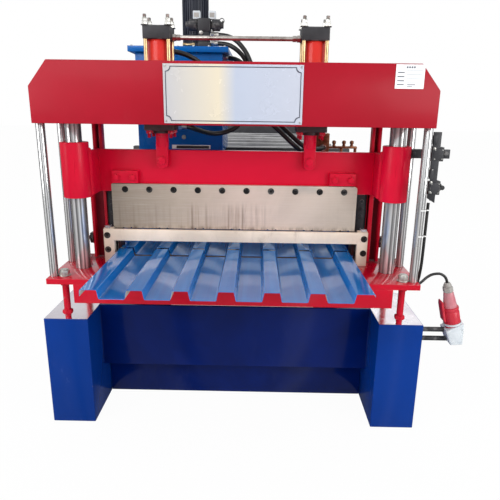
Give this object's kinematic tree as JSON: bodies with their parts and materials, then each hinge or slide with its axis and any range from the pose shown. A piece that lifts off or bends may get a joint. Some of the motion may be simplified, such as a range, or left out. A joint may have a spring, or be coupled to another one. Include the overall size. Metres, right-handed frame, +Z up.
{
  "type": "roll forming machine",
  "caption": "Exit end of a cold roll former for ribbed roof sheet: hydraulic cut-off shear with columns, top beam and cylinders, followed by the last roll stands and the power pack.",
  "frame": {"origin": "centre of the underside of the shear's floor rail, on floor level", "axes": "+X to the right seen from the exit side, +Y against the travel of the sheet, +Z up"},
  "size_m": [1.6921, 3.06, 1.8223],
  "materials": {
    "blue_enamel": "gloss",
    "navy_enamel": "gloss",
    "red_enamel": "gloss",
    "beam_enamel": "gloss",
    "cylinder_red": "gloss",
    "ground_steel": "satin",
    "blade_steel": "satin",
    "bright_steel": "satin",
    "hard_chrome": "polished",
    "black_casting": "satin",
    "motor_grey": "satin",
    "sign_sheet": "satin",
    "coated_sheet": "gloss",
    "tank_enamel": "gloss",
    "black_rubber": "satin",
    "red_plastic": "satin",
    "grey_plastic": "satin",
    "brown_brass": "satin"
  },
  "bodies": {
    "frame": {"leg_left": "blue_enamel", "leg_right": "blue_enamel", "cross_panel": "navy_enamel", "floor_rail": "navy_enamel", "table": "red_enamel", "portal": "ground_steel", "lower_die": "ground_steel", "column_left": "hard_chrome", "column_right": "hard_chrome", "tie_rod_front_left": "hard_chrome", "tie_rod_front_right": "hard_chrome", "tie_rod_rear_left": "hard_chrome", "tie_rod_rear_right": "hard_chrome", "post_left": "red_enamel", "post_right": "red_enamel", "top_beam": "red_enamel", "sign_plate": "sign_sheet", "rating_plate": "sign_sheet", "cylinder_left": "cylinder_red", "cylinder_right": "cylinder_red", "cap_left": "black_casting", "cap_right": "black_casting", "cap_pipe": "bright_steel", "switch_bracket": "black_casting", "sheet_out": "coated_sheet", "sheet_in": "coated_sheet", "former_base": "blue_enamel", "side_frame_left": "blue_enamel", "side_frame_right": "blue_enamel", "tie_ladder": "bright_steel", "tank": "tank_enamel", "tank_lid": "tank_enamel", "motor": "motor_grey", "valve": "black_casting", "hose_return": "black_rubber", "hose_lower": "black_rubber", "hose_outer": "black_rubber", "hose_inner": "black_rubber", "switch_lead": "black_rubber", "mains_plug": "red_plastic", "inlet_box": "grey_plastic", "distributor": "brown_brass"},
    "cutter": {"moving_beam": "beam_enamel", "blade": "blade_steel", "piston_left": "beam_enamel", "piston_right": "beam_enamel", "striker": "black_casting"},
    "lower_shaft_1": {"lower_roll_1": "hard_chrome"},
    "lower_shaft_2": {"lower_roll_2": "hard_chrome"},
    "lower_shaft_3": {"lower_roll_3": "hard_chrome"},
    "lower_shaft_4": {"lower_roll_4": "hard_chrome"},
    "upper_shaft_1": {"upper_roll_1": "hard_chrome"},
    "upper_shaft_2": {"upper_roll_2": "hard_chrome"},
    "upper_shaft_3": {"upper_roll_3": "hard_chrome"},
    "upper_shaft_4": {"upper_roll_4": "hard_chrome"},
    "lower_shaft_5": {"lower_roll_5": "hard_chrome"},
    "upper_shaft_5": {"upper_roll_5": "hard_chrome"},
    "lower_shaft_6": {"lower_roll_6": "hard_chrome"},
    "upper_shaft_6": {"upper_roll_6": "hard_chrome"}
  },
  "joints": [
    {"name": "cutter_slide", "type": "slide", "parent": "frame", "child": "cutter", "axis": [0, 0, -1], "range_m": [0, 0.125]},
    {"name": "lower_turn_1", "type": "hinge", "parent": "frame", "child": "lower_shaft_1", "pos_m": [0, 0.654, 0.587], "axis": [1, 0, 0], "continuous": true},
    {"name": "lower_turn_2", "type": "hinge", "parent": "frame", "child": "lower_shaft_2", "pos_m": [0, 0.954, 0.587], "axis": [1, 0, 0], "continuous": true},
    {"name": "lower_turn_3", "type": "hinge", "parent": "frame", "child": "lower_shaft_3", "pos_m": [0, 1.254, 0.587], "axis": [1, 0, 0], "continuous": true},
    {"name": "lower_turn_4", "type": "hinge", "parent": "frame", "child": "lower_shaft_4", "pos_m": [0, 1.554, 0.587], "axis": [1, 0, 0], "continuous": true},
    {"name": "lower_turn_5", "type": "hinge", "parent": "frame", "child": "lower_shaft_5", "pos_m": [0, 1.854, 0.587], "axis": [1, 0, 0], "continuous": true},
    {"name": "lower_turn_6", "type": "hinge", "parent": "frame", "child": "lower_shaft_6", "pos_m": [0, 2.154, 0.587], "axis": [1, 0, 0], "continuous": true},
    {"name": "upper_turn_1", "type": "hinge", "parent": "frame", "child": "upper_shaft_1", "pos_m": [0, 0.654, 0.7712], "axis": [1, 0, 0], "continuous": true},
    {"name": "upper_turn_2", "type": "hinge", "parent": "frame", "child": "upper_shaft_2", "pos_m": [0, 0.954, 0.7712], "axis": [1, 0, 0], "continuous": true},
    {"name": "upper_turn_3", "type": "hinge", "parent": "frame", "child": "upper_shaft_3", "pos_m": [0, 1.254, 0.7712], "axis": [1, 0, 0], "continuous": true},
    {"name": "upper_turn_4", "type": "hinge", "parent": "frame", "child": "upper_shaft_4", "pos_m": [0, 1.554, 0.7712], "axis": [1, 0, 0], "continuous": true},
    {"name": "upper_turn_5", "type": "hinge", "parent": "frame", "child": "upper_shaft_5", "pos_m": [0, 1.854, 0.7712], "axis": [1, 0, 0], "continuous": true},
    {"name": "upper_turn_6", "type": "hinge", "parent": "frame", "child": "upper_shaft_6", "pos_m": [0, 2.154, 0.7712], "axis": [1, 0, 0], "continuous": true}
  ],
  "couplings": [
    {"joint": "lower_turn_2", "follows": "lower_turn_1", "ratio": 1},
    {"joint": "lower_turn_3", "follows": "lower_turn_1", "ratio": 1},
    {"joint": "lower_turn_4", "follows": "lower_turn_1", "ratio": 1},
    {"joint": "lower_turn_5", "follows": "lower_turn_1", "ratio": 1},
    {"joint": "lower_turn_6", "follows": "lower_turn_1", "ratio": 1},
    {"joint": "upper_turn_1", "follows": "lower_turn_1", "ratio": -1},
    {"joint": "upper_turn_2", "follows": "lower_turn_1", "ratio": -1},
    {"joint": "upper_turn_3", "follows": "lower_turn_1", "ratio": -1},
    {"joint": "upper_turn_4", "follows": "lower_turn_1", "ratio": -1},
    {"joint": "upper_turn_5", "follows": "lower_turn_1", "ratio": -1},
    {"joint": "upper_turn_6", "follows": "lower_turn_1", "ratio": -1}
  ]
}
